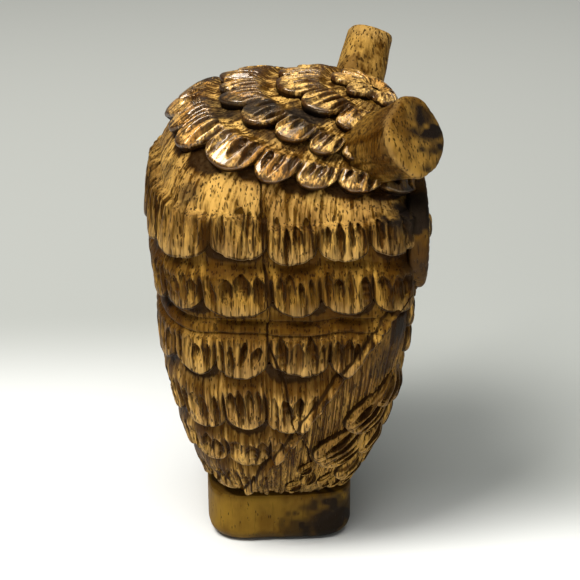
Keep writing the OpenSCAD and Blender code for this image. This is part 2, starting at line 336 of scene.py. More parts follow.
# %% The gouge cuts of a row
TORN = 0.27               # how uneven the gouge leaves the floor of a cut
EDGE_ROUND = 0.055        # share of a row's length that turns over its edge


def gouge_cuts(random, x, local, place, feather, feathers, cuts, fill, last_cut, first_cut, pointed, seed):
    """Depth of the cuts and the painted shade on their rims: stabbed in deep at the top, running out
    downward.
    """
    depth, line = np.zeros_like(x), np.zeros_like(x)
    half = 0.86 / cuts
    for c in range(cuts):
        centre = (-0.86 + 2 * half * (c + 0.5) + random.uniform(-0.25, 0.25, feathers) * half)[feather]
        tilt = random.uniform(-0.16, 0.16, feathers)[feather]
        first = first_cut + random.uniform(-0.06, 0.09, feathers)[feather]
        last = (last_cut + random.uniform(-0.28, 0.06, feathers))[feather]
        wide = half * random.uniform(fill[0], fill[1], feathers)[feather]
        deep = random.uniform(0.50, 1.0, feathers)[feather]
        s = np.clip((local - first) / (last - first), 0, 1)
        if pointed:      # a leaf, sharp at both ends
            leaf = np.sin(np.pi * s ** 0.8) ** 0.75
            fall = leaf ** 0.5
        else:            # an arch at the top, running out at the bottom
            leaf = np.clip(s / 0.24, 0, 1) ** 0.7 * np.clip((1 - s) / 0.35, 0, 1) ** 0.5
            fall = np.clip(s / 0.07, 0, 1) ** 0.6 * (1 - 0.75 * s)
        wobble = 0.035 * value_noise(local * 7 + c * 31, feather * 3.7, seed + 20 + c)
        off = (x - centre - tilt * (s - 0.5) - wobble) / (wide * leaf + 1e-4)
        inside = (s > 0) & (s < 1)
        cut = np.clip(1 - (off + 0.22 * (1 - np.minimum(off * off, 1))) ** 2, 0, 1)
        torn = 1 + TORN * value_noise(place * 9, local * 16 + c * 11, seed + 70)
        cut = cut ** 0.7 * fall * deep * torn
        depth = np.maximum(depth, np.where(inside, cut, 0))
        # a dark line inside each rim, stain with painted shade, twice as strong on one wall as a painted
        # shadow
        rim = np.exp(-((np.abs(off) - 0.90) / 0.27) ** 2) * np.where(off < 0, 1.0, 0.5)
        rim = rim * smoothstep(1.0, 0.5, s) * (0.5 + 0.5 * deep)
        line = np.maximum(line, np.where(inside, rim, 0))
    return depth, line


# %% Carve one row
def carve_row(name, ring, feathers, phase, step, notch, cuts, seed,
              density=(800, 84), span=None, folded=False, shape=None,
              # where things start and end, as shares of a feather's length
              length=1.0, overlap=0.22, bare=0.40, slope=0.35, cut_span=(0.42, 1.06), ledge_dip=0.0,
              # heights in mm, and how the cuts look
              bulge=0.5, cut_depth=1.5, fill=(0.75, 1.1), pointed=False, ragged_edge=1.0,
              # where the stain, the painted shade and the lacquer lie
              dark_to=None, tip_burn=0.0, root_streaks_and_shade=0.0, edge_shade=0.45, crease_dark=0.9, cut_shade=1.0,
              polish=0.05, bare_polish=0.0):
    """A skirt of feathers from under the edge of ring-length to the edge at ring."""
    across, down = int(density[0] * DETAIL), int(density[1] * DETAIL)
    u = np.arange(across) / across if span is None else np.linspace(span[0], span[1], across)
    U, T = np.meshgrid(u, np.linspace(0, 1, down))
    top = ring - length * (1 + overlap)
    walk = np.abs(U - 0.5) if folded else U
    uneven = 0.09 * np.sin(2 * np.pi * 5 * walk + seed) + 0.06 * np.sin(2 * np.pi * 8 * walk + 2 * seed)
    place = walk * feathers - phase + uneven
    feather = np.floor(place).astype(int) % feathers
    x = 2 * (place - np.floor(place)) - 1
    random = rng(seed)
    tip_shift = random.uniform(-0.05, 0.05, feathers)[feather]
    skew = random.uniform(-0.10, 0.10, feathers)[feather]
    tall = random.uniform(-0.3, 0.3, feathers)[feather]

    # where the scalloped edge runs, and how far down the feather each point lies
    skewed = np.clip(x + skew * (1 - x * x), -1, 1)
    scallop = 1 - np.sqrt(np.clip(1 - np.abs(skewed) ** 2.3, 0, 1))
    edge = ring + (tip_shift - notch * scallop ** 0.85
                   + 0.010 * value_noise(walk * feathers * 7, T * 0, seed + 9)) * length
    W = top + (edge - top) * T
    local = 1 + (W - ring - tip_shift * length) / length  # 0 at the row above's edge, 1 at the tip
    dip = ledge_dip * np.cos(4 * np.pi * U)               # lower on the sides than back and front
    bare, first_cut = bare - dip, cut_span[0] - dip
    below_hem = local + 0.9 * notch * np.clip(np.abs(2 * np.mod(place, 1.0) - 1), 0, 1) ** 4

    # the feather's face stands out from the bare band above it and swells a little
    rise = smoothstep(bare - slope, bare + 0.08, local)
    high = step * (0.08 + 0.92 * rise)
    high = high + bulge * (1 - x * x) * smoothstep(bare - 0.1, bare + 0.3, local)
    high = high + tall * smoothstep(bare, 1, local)
    between = np.exp(-((1 - np.abs(x)) / 0.085) ** 2) * smoothstep(bare - 0.05, bare + 0.20, local)
    high = high - between * step * 0.62

    # the cuts, the torn fibres beside them and the marks of a punch on the bare band
    depth, line = gouge_cuts(random, x, local, place, feather, feathers, cuts, fill, cut_span[1],
                             first_cut, pointed, seed)
    fine = value_noise(place * 46, local * 4.0, seed + 51)
    ragged = 0.5 + 0.5 * value_noise(place * 22, local * 2.4, seed + 50)
    feathered = smoothstep(bare - 0.08, bare + 0.12, local) * (1 - 0.6 * smoothstep(0.80, 0.95, local))
    high = high - cut_depth * depth + (0.10 * fine - 0.40 * ragged ** 3) * feathered * ragged_edge
    high = high + 0.14 * value_noise(place * 4, W * 6, seed + 52)
    high = high + 0.16 * value_noise(place * 14, W * 22, seed + 53) * (1 - rise)

    # the last points turn over the edge; then the crack and whatever else is cut across the row
    over = np.clip((T - (1 - EDGE_ROUND)) / EDGE_ROUND, 0, 1)
    high = high - (1 - np.sqrt(np.clip(1 - over ** 2, 0, 1))) * 0.9
    ground = form(W, U)
    crease_shade = np.zeros_like(high)
    if shape is not None:
        high, crease_shade = shape(ground, high)
    crack = crack_at(ground).reshape(high.shape)
    high = high - 0.9 * crack

    # the front of the shell, and its back inside the wood
    outer = ground + form_normal(W, U) * (high * MM)[..., None]
    U2, T2 = np.meshgrid(u, np.linspace(1, 0, 8))
    W2 = top + (np.broadcast_to(edge[-1], U2.shape) - top) * T2
    sunk = np.where(T2 > 0.99, np.minimum(high[-1] - 0.4, step * 0.25), -1.2)
    inner = form(W2, U2) + form_normal(W2, U2) * (sunk * MM)[..., None]
    grid = np.concatenate([outer, inner], 0)
    rows = grid.shape[0]
    faces = grid_faces(rows, across, ring_down=True, ring_across=span is None).tolist()
    if span is not None:
        ends = np.arange(rows) * across
        faces += [ends[::-1].tolist(), (ends + across - 1).tolist()]

    # what the stain, the painted shade and the lacquer need to know at each point
    dark_to = bare + 0.14 if dark_to is None else dark_to
    # painted shade on the wall turned under each edge and along each feather's sides
    turned = smoothstep(0.0, 0.5, over)
    shaded_edge = edge_shade * np.maximum(turned, smoothstep(0.90, 1.0, np.abs(x)) * feathered)
    strands = 0.5 + 0.30 * value_noise(place * 24, local * 1.6, seed + 60) \
        + 0.20 * value_noise(place * 60, local * 3.2, seed + 61)
    # darker strands just below the row above: root streaks, and painted shade under its edge
    strands = strands + root_streaks_and_shade * np.exp(-((local - bare - 0.05) / 0.28) ** 2)
    strands = strands + tip_burn * smoothstep(0.80, 1.0, local)
    # painted shade in the crease just under the row above's edge, and in the torn low spots
    crease = crease_dark * (1 - smoothstep(-0.02, 0.13, below_hem * length)) + 0.35 * ragged ** 4 * feathered
    worn = smoothstep(bare - 0.1, bare + 0.1, local)
    # cut holds stain and painted shade in the cuts and in the gaps between feathers; under is painted shade
    # below the row above; the back, the undercut wall, is painted dark as shade
    front_and_back = {
        "cut": (np.clip(np.maximum.reduce([depth * cut_shade, between * 0.9, crack]), 0, 1), 0.5),
        "line": (np.clip(np.maximum.reduce([line, crack, crease, shaded_edge, crease_shade]), 0, 1), 0.9),
        "tip": (smoothstep(0.70, 0.95, local), 0.0),
        "under": (1 - smoothstep(dark_to * 0.45, dark_to, below_hem), 1.0),
        "barbs": (feathered, 0.3),
        "polish": (bare_polish + (polish - bare_polish) * worn, 0.0),
        "streak_and_shade": (np.clip(strands, 0, 1.3), 0.5),
    }
    attributes = {key: np.concatenate([front, np.full(U2.shape, back)], 0).reshape(-1)
                  for key, (front, back) in front_and_back.items()}
    keep(make_mesh(name, grid.reshape(-1, 3), faces, attributes), "body", "carved_wood")


# %% [markdown]
# ## What else is cut into the rows
#
# Below the shoulder the rows go only as far as the wing's edge, and the third row has two level
# chisel grooves. Each of these is a small function that takes a row's points and their heights
# and gives back the changed heights, with a note of where shade is painted. That keeps the odd
# cases out of the function that carves every row.

# %% Shapes across a row
RIDGE_BACK, RIDGE_WIDTH, RIDGE_HEIGHT = 1.5, 1.1, 3.2     # mm, along the wing's edge
FRONT = (0.17, 0.83)      # the part of a ring that the flank's skin covers
GROOVES = ((84.6, 0.9), (80.6, 1.2))                      # mm: height, depth


def wing_only(ground, high):
    """The wing's feathers stop at its edge, which is left standing as a thin ridge, with painted shade in the
    crease behind it and on the sunk wood in front.
    """
    ahead = ahead_of_wing(ground)
    ridge = np.exp(-((ahead + RIDGE_BACK) / RIDGE_WIDTH) ** 2)
    high = high * (1 - 0.8 * ridge) + RIDGE_HEIGHT * ridge
    # painted shade in the crease behind the ridge and on the wood sunk in front of it
    crease_shade = 0.8 * np.maximum(np.exp(-((ahead + 3.1) / 0.5) ** 2), smoothstep(-0.7, 0.0, ahead))
    past = smoothstep(-0.3, 0.5, ahead)
    return high * (1 - past) - 1.6 * past, crease_shade


def grooved(ground, high):
    """Two straight chisel grooves run level across the third row's upper part, with painted shade along their
    upper walls.
    """
    z = ground[..., 2] / MM
    right_side = smoothstep(2.0, -10.0, ground[..., 0] / MM)
    high, crease_shade = wing_only(ground, high)
    for level, deep in GROOVES:
        wander = level + 0.5 * value_noise(ground[..., 1] / MM * 0.12, z * 0, 71)
        high = high - deep * np.exp(-((z - wander) / 0.75) ** 2) * right_side
        # painted shade along each groove's upper wall
        crease_shade = np.maximum(crease_shade, 0.5 * np.exp(-((z - wander - 0.3) / 0.4) ** 2) * right_side)
    return high, crease_shade


def flank_only(ground, high):
    """The strip in front of the wing's edge, sunk out of sight behind it and painted into shade."""
    past = smoothstep(-0.6, 0.6, ahead_of_wing(ground))
    return high * past - 2.4 * (1 - past), 0.35 * (1 - past)


print("edge ridge", RIDGE_HEIGHT, "mm high;", len(GROOVES), "grooves")

# %% [markdown]
# ## Ten rows from the brow to the base block
#
# A carver works from the top down, because each row's stab cut frees the row below it. The four
# crown rows are rubbed and thickly lacquered. The six trunk rows are cut deeper and left duller.
# Each row is one call with its own ring, number of feathers and seed. What the crown rows share
# and what the trunk rows share stands in two dictionaries. An array modifier could repeat one
# feather, but no two feathers of a hand carving are alike.

# %% Cut the rows
CROWN = dict(slope=0.2, polish=0.9, ragged_edge=0.4, pointed=True, fill=(0.50, 0.85), dark_to=0.10,
             edge_shade=0.40, bare_polish=0.65, tip_burn=0.5, crease_dark=0.35, cut_shade=0.55)
carve_row("crown_row_1", 0, 6, 0.5, 2.0, 0.50, 4, 11, bare=0.30, density=(420, 60), cut_depth=1.5,
          cut_span=(0.30, 0.90), **CROWN)
carve_row("crown_row_2", 1, 9, 0.05, 2.4, 0.50, 4, 12, bare=0.26, density=(600, 88), cut_depth=1.9,
          cut_span=(0.20, 0.90), bulge=0.8, root_streaks_and_shade=0.30, **CROWN)
carve_row("crown_row_3", 2, 16, 0.53, 2.7, 0.50, 3, 13, bare=0.30, density=(800, 92), cut_depth=2.2,
          cut_span=(0.26, 0.90), bulge=0.8, root_streaks_and_shade=0.35, **CROWN)
carve_row("crown_row_4", 3, 17, 0.015, 2.8, 0.46, 3, 14, bare=0.27, density=(860, 96), cut_depth=2.5,
          cut_span=(0.24, 0.90), bulge=1.0, root_streaks_and_shade=0.25, **CROWN)
carve_row("trunk_row_1", 4, 17, 0.30, 2.8, 0.22, 4, 21, bare=0.42, slope=0.04, cut_span=(0.37, 1.04),
          cut_depth=3.0, density=(860, 104), dark_to=0.12, polish=0.22, fill=(0.50, 1.10), ledge_dip=0.08,
          bare_polish=0.39)
TRUNK = dict(cut_depth=3.0, fill=(0.50, 1.15), root_streaks_and_shade=0.12, edge_shade=0.6)
carve_row("trunk_row_2", 5, 17, 0.30, 2.6, 0.30, 4, 22, bare=0.27, cut_span=(0.27, 1.0), slope=0.2, **TRUNK)
carve_row("trunk_row_3", 6, 17, 0.22, 2.6, 0.28, 4, 23, bare=0.39, cut_span=(0.39, 1.0), shape=grooved,
          polish=0.28, **TRUNK)
carve_row("trunk_row_4", 7, 17, 0.25, 2.4, 0.30, 4, 24, bare=0.26, cut_span=(0.26, 0.98), shape=wing_only,
          polish=0.50, bare_polish=0.32, **TRUNK)
carve_row("trunk_row_5", 8.05, 17, 0.30, 2.2, 0.32, 3, 25, bare=0.22, density=(760, 66), shape=wing_only,
          cut_span=(0.22, 0.98), polish=0.42, bare_polish=0.25, **TRUNK)
carve_row("trunk_row_6", 9.3, 17, 0.25, 2.0, 0.26, 3, 26, bare=0.30, length=1.35, density=(680, 56),
          shape=wing_only, cut_span=(0.32, 0.96), polish=0.42, bare_polish=0.25, **TRUNK)
carve_row("flank", 9.95, 90, 0, 0.5, 0.02, 1, 30, bare=0.02, length=4.6, overlap=0.05, bulge=0.3,
          cut_span=(0.0, 1.0), fill=(0.35, 0.6), cut_depth=0.6, density=(600, 90), folded=True,
          shape=flank_only, span=FRONT, polish=0.2, bare_polish=0.2)

# %% [markdown]
# ## Leaning feathers on the flanks and belly
#
# In front of the wing's edge the feathers don't stand in level rows. They are tongues that lean,
# and each laps over the next. One function makes a tongue from rings of points round its middle,
# and a list gives the place, size and lean of each. The left side mirrors the right side.
# Geometry Nodes could scatter them, but here each overlap is chosen, so a list is easier to read.

# %% Leaning feathers on the flanks and belly
def carve_lobe(name, ring, u, wide, long_, lean, high, cuts, seed):
    """One tongue-shaped feather, sizes in mm; it leans by an angle away from straight down."""
    across, down = int(86 * DETAIL), int(33 * DETAIL)
    a = np.arange(across) / across * 2 * np.pi
    r = np.concatenate([np.linspace(0.02, 1, down), [0.97, 0.7, 0.3]])
    A, R = np.meshgrid(a, r)
    sole = np.broadcast_to((np.arange(len(r)) >= down)[:, None], A.shape)
    n = 2.5                                              # squareness of its outline
    reach = (np.abs(np.cos(A)) ** n + np.abs(np.sin(A)) ** n) ** (-1 / n)
    x, s = R * reach * np.cos(A), R * reach * np.sin(A)  # s runs from -1 at the root to 1 at the tip
    width = wide * (0.80 + 0.20 * smoothstep(-1.0, 0.2, s))
    right, down_mm = x * width, s * long_
    turn = math.radians(lean)
    sideways = right * math.cos(turn) - down_mm * math.sin(turn)
    downward = right * math.sin(turn) + down_mm * math.cos(turn)
    here = form(np.array([ring, ring + 0.1, ring]), np.array([u, u, u + 0.01]))
    per_ring = np.linalg.norm(here[1] - here[0]) / MM / 0.1
    per_turn = np.linalg.norm(here[2] - here[0]) / MM / 0.01
    W, U = ring + downward / per_ring, u + sideways / per_turn
    random = rng(seed)
    body = high * (0.25 + 0.75 * smoothstep(-1.0, 0.15, s)) * np.sqrt(np.clip(1 - R ** 7, 0, 1))
    body = body + 0.5 * (1 - x * x) * smoothstep(-1, 0, s)
    depth, line = np.zeros_like(body), np.zeros_like(body)
    for c in range(cuts):
        half = 0.86 / cuts
        centre = -0.86 + 2 * half * (c + 0.5) + random.uniform(-0.15, 0.15) * half
        first = -0.62 + random.uniform(-0.2, 0.2) + 0.25 * abs(centre)
        last = 0.72 + random.uniform(-0.15, 0.1)
        q = np.clip((s - first) / (last - first), 0, 1)
        leaf = np.sin(np.pi * q ** 0.8) ** 0.7
        off = (x - centre * (1 - 0.22 * q)) / (half * random.uniform(0.62, 0.85) * leaf + 1e-4)
        inside = (q > 0) & (q < 1)
        cut = np.clip(1 - np.abs(off) ** 1.5, 0, 1) * leaf ** 0.6
        # the dark line lies inside one rim of each cut only: a painted shadow
        rim = np.exp(-((np.abs(off) - 0.85) / 0.3) ** 2) * (off < 0)
        depth = np.maximum(depth, np.where(inside, cut, 0))
        line = np.maximum(line, np.where(inside, rim, 0))
    body = body - high * depth + 0.12 * value_noise(x * 14 + 40, s * 2 + 9, seed)
    body = np.where(sole, -1.0, body)
    grid = form(W, U) + form_normal(W, U) * (body * MM)[..., None]
    strands = 0.5 + 0.45 * value_noise(x * 17 + 50, s * 1.5 + 20, seed + 1)
    # painted shade round the tongue's border, on its sole and at its root, under the tongue above
    line = np.maximum(line * 0.8, 0.9 * smoothstep(0.88, 1.0, R))
    notes = {"cut": depth, "line": np.where(sole, 0.9, line), "tip": smoothstep(0.5, 0.9, s) * 0.6,
             "under": np.where(sole, 1, 1 - smoothstep(-1.0, -0.6, s)), "barbs": 0.8,
             "streak_and_shade": strands, "polish": 0.22}
    obj = tube(name, grid, notes, flip=True)
    keep(obj, "body", "carved_wood")


LOBES = [      # ring, way round from the front, half width, half length, lean, height, cuts
    (6.42, 0.120, 6.0, 7.6, 22, 2.6, 3), (6.80, 0.149, 6.6, 8.8, 42, 3.2, 4),
    (7.62, 0.177, 6.8, 9.4, 50, 3.3, 4), (7.60, 0.112, 6.0, 8.0, 34, 2.8, 3),
    (8.45, 0.130, 6.0, 7.6, 40, 2.8, 3), (8.85, 0.180, 3.2, 3.6, 60, 1.8, 1),
    (8.65, 0.218, 2.6, 3.2, 20, 1.8, 1), (9.05, 0.238, 2.8, 3.4, 70, 1.6, 1),
    (9.00, 0.150, 3.4, 4.0, 40, 1.8, 2), (8.30, 0.226, 2.4, 3.0, 55, 1.7, 1),
    (5.10, 0.034, 6.4, 7.4, 4, 2.2, 3), (5.15, 0.092, 6.2, 7.4, 12, 2.0, 3),
    (5.70, 0.0, 6.6, 7.8, 0, 2.4, 4), (5.72, 0.066, 6.4, 7.8, 10, 2.4, 3),
    (6.38, 0.034, 6.2, 7.8, 6, 2.6, 3), (6.55, 0.082, 5.6, 7.4, 16, 2.6, 3),
    (7.08, 0.0, 6.2, 7.8, 0, 2.6, 3), (7.25, 0.060, 6.0, 7.8, 14, 2.6, 3),
    (8.02, 0.030, 5.8, 7.4, 6, 2.4, 3), (8.25, 0.085, 5.4, 7.0, 20, 2.4, 3),
    (8.90, 0.0, 5.2, 6.4, 0, 2.2, 3), (8.98, 0.060, 5.0, 6.2, 12, 2.2, 3),
    (9.15, 0.108, 4.0, 5.0, 20, 2.0, 2)]
for number, (ring, way, wide, long_, lean, high, cuts) in enumerate(LOBES):
    for side_name, sign in (("right", 1), ("left", -1)):
        if way > 0 or sign > 0:
            carve_lobe(f"belly_{side_name}_{number + 1}", ring, 0.5 + sign * way, wide, long_,
                       -sign * lean, high, cuts, 80 + number)
print(f"{len(LOBES)} leaning feathers on each side")


# %% [markdown]
# ## The solid wood behind the rows
#
# The rows are shells, and the real carving is solid wood behind them. A plain skin on the same
# rings, half a millimetre further in, closes the view between the rows and the leaning feathers.
# It isn't cut, because nothing of it is seen but the bottom of a gap, and its colour is painted
# dark there as shade.

# %% The solid wood behind the rows
def carve_core():
    across, down = int(240 * DETAIL), int(130 * DETAIL)
    U, W = np.meshgrid(np.arange(across) / across, np.linspace(-1, 10, down))
    sink = np.where(W > 9.4, 0.0, 0.5)
    grid = form(W, U) - form_normal(W, U) * (sink * MM)[..., None]
    # painted shade: the whole skin is darkened, as the bottom of the gaps
    obj = tube("core", grid, {"under": 0.9})
    keep(obj, "body", "carved_wood")


carve_core()

# %% [markdown]
# ## Ears
#
# Each ear is a separate flared post on a peg. The right one is thick and leans forward and out,
# the left one is slimmer and stands up. The outline is a rounded square that grows from root to
# tip, and the end is a low dome. A bevelled cylinder would do for the shape, but the rings of
# points can also carry the notes for the colour: painted shade at the root, over most of the right
# ear and at its end, and a paler, rubbed tip.

# %% Carve the ears
def carve_ear(name, node, root, tip, wide, thick, turn, seed, shade_and_streaks, rubbed):
    """A flared post from root to tip in mm, with a nearly flat end; wide and thick are at each end."""
    root, tip = Vector(root) * MM, Vector(tip) * MM
    axis = (tip - root).normalized()
    side = axis.cross(Vector((math.sin(turn), math.cos(turn), 0.35))).normalized()
    up = side.cross(axis).normalized()
    length = (tip - root).length
    across, down, cap = int(200 * DETAIL), int(70 * DETAIL), int(36 * DETAIL)
    a = np.arange(across) / across * 2 * np.pi
    s = np.linspace(0, 1, down)
    A, S = np.meshgrid(a, s)
    swell = 1 + 0.04 * value_noise(np.cos(A) * 2 + 5, np.sin(A) * 2 + S * 3, seed)
    ra = (wide[0] + (wide[1] - wide[0]) * S ** 1.3) * swell
    rb = (thick[0] + (thick[1] - thick[0]) * S ** 1.3) * swell
    n = 2.6               # squareness of the outline
    r = ((np.abs(np.cos(A)) / ra) ** n + (np.abs(np.sin(A)) / rb) ** n) ** (-1 / n)
    along_axis = S * length / MM
    Ac, Cs = np.meshgrid(a, np.linspace(1, 0, cap + 1)[1:])
    rc = r[-1][None, :] * np.sin(Cs * np.pi / 2) ** 0.5
    rise = 2.4 * (1 - Cs ** 3.0) ** 0.75
    R = np.concatenate([r, rc])
    Z = np.concatenate([along_axis, length / MM + rise])
    AA = np.concatenate([A, Ac])
    R = R + 0.10 * value_noise(AA * 12, Z * 0.35, seed + 3)
    x, y = R * np.cos(AA), R * np.sin(AA)
    base = np.array(root)
    grid = (base + (x[..., None] * np.array(side) + y[..., None] * np.array(up)
                    + Z[..., None] * np.array(axis)) * MM)
    flared = np.concatenate([S, np.ones_like(Cs)])
    rim = np.concatenate([smoothstep(0.85, 1.0, S), smoothstep(0.6, 1.0, Cs)])
    # painted shade: dark at the root, where the ear meets the head, and over the whole post by the ear's own
    # setting, strong on the right ear
    stain_and_shade = np.maximum(1 - smoothstep(0.1, 0.42, flared), np.where(flared < 1, shade_and_streaks, 0.25 * shade_and_streaks))
    strands = 0.5 + 0.5 * shade_and_streaks * value_noise(np.cos(AA) * 9 + 30, np.sin(AA) * 9 + Z * 0.03, seed + 5)
    obj = tube(name, grid, {"tip": 0.5 * rim, "under": stain_and_shade, "barbs": np.where(flared < 1, shade_and_streaks, 0.1),
                            "streak_and_shade": np.where(flared < 1, strands, 0.4), "polish": rubbed}, flip=True)
    keep(obj, node, "carved_wood")


carve_ear("right_ear", "ear_right", (-16, -19, 126), (-32, -36, 137.5), (8.5, 10.8), (8.0, 10.6),
          0.4, 31, shade_and_streaks=0.80, rubbed=0.08)
carve_ear("left_ear", "ear_left", (17, -23, 128), (28.8, -29.5, 147.3), (7.5, 6.6), (7.5, 6.8),
          0.0, 32, shade_and_streaks=0.15, rubbed=0.22)

# %% [markdown]
# ## Face
#
# Two facial discs stand proud of the head. Their fronts are dished and cut with straight rays,
# and an eye with a burnt pupil sits in the middle of each. All six are turned shapes, so one
# function turns a profile into a skin, as a lathe does; a Screw modifier does the same. The rays
# are cut afterwards, by moving the turned points back where a ray runs.

# %% Where the face's parts sit
face = {}
for side_name, sign in (("left", 1), ("right", -1)):
    low, high = (Vector(c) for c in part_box("face_disc_" + side_name))
    elow, ehigh = (Vector(c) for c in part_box("eye_" + side_name))
    face[side_name] = dict(x=(elow.x + ehigh.x) / 2, z=(elow.z + ehigh.z) / 2, r=(high.z - low.z) / 2,
                           back=high.y, front=low.y, eye_r=(ehigh.z - elow.z) / 2, eye_front=elow.y)
    print(f"{side_name} disc: {(high.z - low.z) / MM:.1f} mm across, {(high.y - low.y) / MM:.1f} mm thick")


# %% Turn and cut the discs, eyes and pupils
def lathe(name, node, slot, centre, profile, across, bump=None):
    """Turn a profile of (radius, reach) in mm about the line that points out of the face."""
    a = np.arange(across) / across * 2 * np.pi
    prof = np.array(profile)
    rows = len(prof)
    R = np.repeat(prof[:, :1], across, 1)
    Y = np.repeat(prof[:, 1:2], across, 1)
    A = np.repeat(a[None], rows, 0)
    extra = {}
    if bump:
        R, Y, extra = bump(R, Y, A)
    grid = np.stack([R * np.cos(A), -Y, R * np.sin(A)], -1) * MM + np.array(centre)
    obj = tube(name, grid, dict({"barbs": 0.2, "polish": 0.05}, **extra), flip=True)
    keep(obj, node, slot)


def disc_profile(r, t, steps):
    """Radius and reach across a disc: flat back, upright rim, rolled edge and dished front."""
    rim = [(r - 1.2, -1.5), (r - 0.3, -1.2)] + [(r, v) for v in np.linspace(-0.8, t - 1.6, steps // 3)]
    roll = [(r - 1.5 + 1.5 * math.cos(v), t - 1.5 + 1.5 * math.sin(v))
            for v in np.linspace(0, math.pi / 2, 10)]
    dish = [(q, t - 1.7 * math.sin(math.pi * ((r - 1.5 - q) / (r - 2.5))) ** 0.8)
            for q in np.linspace(r - 1.6, 1.0, steps)]
    return rim + roll + dish


RAYS = 34                 # straight cuts round each disc


def rays(seed, r):
    """The cuts from the eye to a disc's rim, as a function that changes the turned points and notes the
    painted shade.
    """
    def bump(R, Y, A):
        wave = A / (2 * np.pi) * RAYS + 0.35 * value_noise(A * 3, R * 0 + 0.5, seed)
        x = 2 * (wave - np.floor(wave)) - 1
        inside = smoothstep(r - 0.6, r - 2.6, R) * smoothstep(5.5, 8.0, R)
        inside = inside * (Y > 1.5)
        cut = np.clip(1 - np.abs(x) / 0.42, 0, 1) ** 0.8 * inside
        side = (Y > -0.5) & (R > r - 0.9)
        R = R + 0.18 * value_noise(A * 9, Y * 0.4, seed + 1) * side
        # painted shade at the back of the disc, where it meets the head; the rim's border is darker too
        under = np.maximum(1 - smoothstep(-0.5, 1.6, Y), 0.75 * (R > r - 1.2))
        return R, Y - cut, {"cut": cut, "under": under}
    return bump


def dome(radius, front, height, steps):
    """Profile of a shallow dome, from its border to just short of its middle."""
    return [(radius * math.sin(v), front - height + height * math.cos(v))
            for v in np.linspace(math.pi / 2, 0.03, steps)]


for side_name, f in face.items():
    thick = (f["back"] - f["front"]) / MM - 1.0
    centre = (f["x"], f["back"], f["z"])
    lathe(side_name + "_disc", "face_disc_" + side_name, "carved_wood", centre,
          disc_profile(f["r"] / MM, thick, int(54 * DETAIL)), int(330 * DETAIL), rays(41, f["r"] / MM))
    er = f["eye_r"] / MM
    front = (f["back"] - f["eye_front"]) / MM
    lathe(side_name + "_eye", "eye_" + side_name, "eye_wood", centre,
          [(er - 0.4, 0.5), (er, 1.0)] + dome(er, front, 2.6, 30), int(120 * DETAIL))
    plow, phigh = (Vector(c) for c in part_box("pupil_" + side_name))
    pr = (phigh.z - plow.z) / 2 / MM
    pf = (f["back"] - plow.y) / MM
    lathe(side_name + "_pupil", "pupil_" + side_name, "pupil_wood", centre,
          [(pr, pf - 3.0)] + dome(pr, pf, 1.3, 20), int(90 * DETAIL))

# %% [markdown]
# ## Beak
#
# The beak hangs between the discs, thin at the tip and rounded along its ridge. It has no turned
# or sawn shape, so its width and its reach each follow a curve from the top down to the tip.
# A Bezier curve with a taper would give much the same; this keeps its back flat on the face.

# %% Carve the beak
def carve_beak():
    low, high = (Vector(c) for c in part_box("beak"))
    face_back = face["left"]["back"]
    top, bottom = high.z / MM, low.z / MM
    across, down = int(100 * DETAIL), int(60 * DETAIL)
    A, S = np.meshgrid(np.arange(across) / across * 2 * np.pi, np.linspace(0, 1, down))
    half = 3.9 * (1 - S) ** 0.55 * (0.35 + 0.65 * smoothstep(0, 0.25, S)) + 0.25
    reach = (face_back - low.y) / MM * np.sin(np.pi * (0.20 + 0.62 * S)) ** 1.2
    reach = reach * (0.4 + 0.6 * smoothstep(0, 0.35, S))
    deep = reach * 0.5 + 1.0
    n = 1.8               # under 2, so the ridge is a little sharp
    r = ((np.abs(np.cos(A)) / half) ** n + (np.abs(np.sin(A)) / deep) ** n) ** (-1 / n)
    y = face_back / MM + 1.0 - deep - r * np.sin(A)
    grid = np.stack([r * np.cos(A), y, top - (top - bottom) * S], -1) * MM
    obj = tube("beak_carved", grid, {"under": 0.5, "polish": 0.4}, flip=True)
    keep(obj, "beak", "carved_wood")


carve_beak()

# %% [markdown]
# ## Base block
#
# The owl stands on a short block of the same wood with rounded corners. Its lower border is worn
# round by handling and its upper border fits closely under the trunk. A cube with a Bevel modifier
# is the usual way. Rings of points are used here so that the faces can wave a little, as a rasp
# leaves them, while they never pass the sizes that the frame gives.

# %% Carve the base block
def carve_base():
    low, high = (Vector(c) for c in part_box("base_block"))
    hw, hd, top = (high.x - low.x) / 2 / MM, (high.y - low.y) / 2 / MM, high.z / MM
    across, down = int(360 * DETAIL), int(90 * DETAIL)
    A, S = np.meshgrid(np.arange(across) / across * 2 * np.pi, np.linspace(0, 1, down))
    z = top * (1 - S)
    worn = 4.4 * (1 - np.sqrt(1 - np.clip((S - 0.70) / 0.30, 0, 1) ** 2.4))
    neck = 0.3 * smoothstep(0.06, 0.0, S)
    n = 4.6               # squareness of the outline
    aw, ad = hw - worn - neck, hd - worn - neck
    r = ((np.abs(np.cos(A)) / aw) ** n + (np.abs(np.sin(A)) / ad) ** n) ** (-1 / n)
    r = r + 0.22 * value_noise(np.cos(A) * 5 + 9, np.sin(A) * 5 + z * 0.25, 61)
    r = np.minimum(r, ((np.abs(np.cos(A)) / hw) ** n + (np.abs(np.sin(A)) / hd) ** n) ** (-1 / n))
    grid = np.stack([r * np.cos(A), r * np.sin(A), z], -1) * MM
    # painted shade along the top of the block, under the trunk's lowest feathers
    obj = tube("base_carved", grid, {"under": 0.6 * smoothstep(0.15, 0.0, S), "polish": 0.05,
                                     "tip": smoothstep(0.93, 0.99, S)})
    keep(obj, "base_block", "base_wood")


carve_base()

